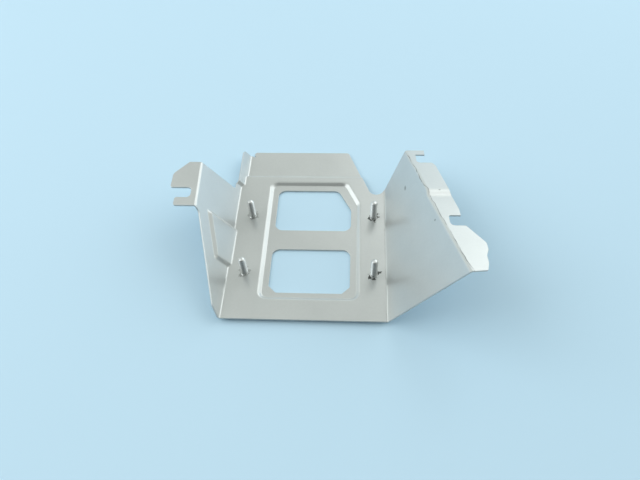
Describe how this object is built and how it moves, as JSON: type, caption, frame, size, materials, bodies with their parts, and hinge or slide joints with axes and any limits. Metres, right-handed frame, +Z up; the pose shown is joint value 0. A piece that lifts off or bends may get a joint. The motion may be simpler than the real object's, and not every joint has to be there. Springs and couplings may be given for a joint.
{
  "type": "stamped metal bracket",
  "caption": "Folded sheet carrier bracket: windowed base with press-in studs, two outward sloping walls, a slotted tab on one side and a slotted sloping flange on the other.",
  "frame": {"origin": "middle of the rectangle of studs, on the upper face of the base", "axes": "+X from the slotted tab towards the wing, +Y towards the lowered rear strip, +Z up along the studs"},
  "size_m": [0.2569, 0.1885, 0.0793],
  "materials": {
    "sheet": "bright zinc plated, satin",
    "stud": "bright zinc plated"
  },
  "bodies": {
    "root": {"bracket_sheet": "sheet", "stud_1": "stud", "stud_2": "stud", "stud_3": "stud", "stud_4": "stud"}
  },
  "joints": []
}
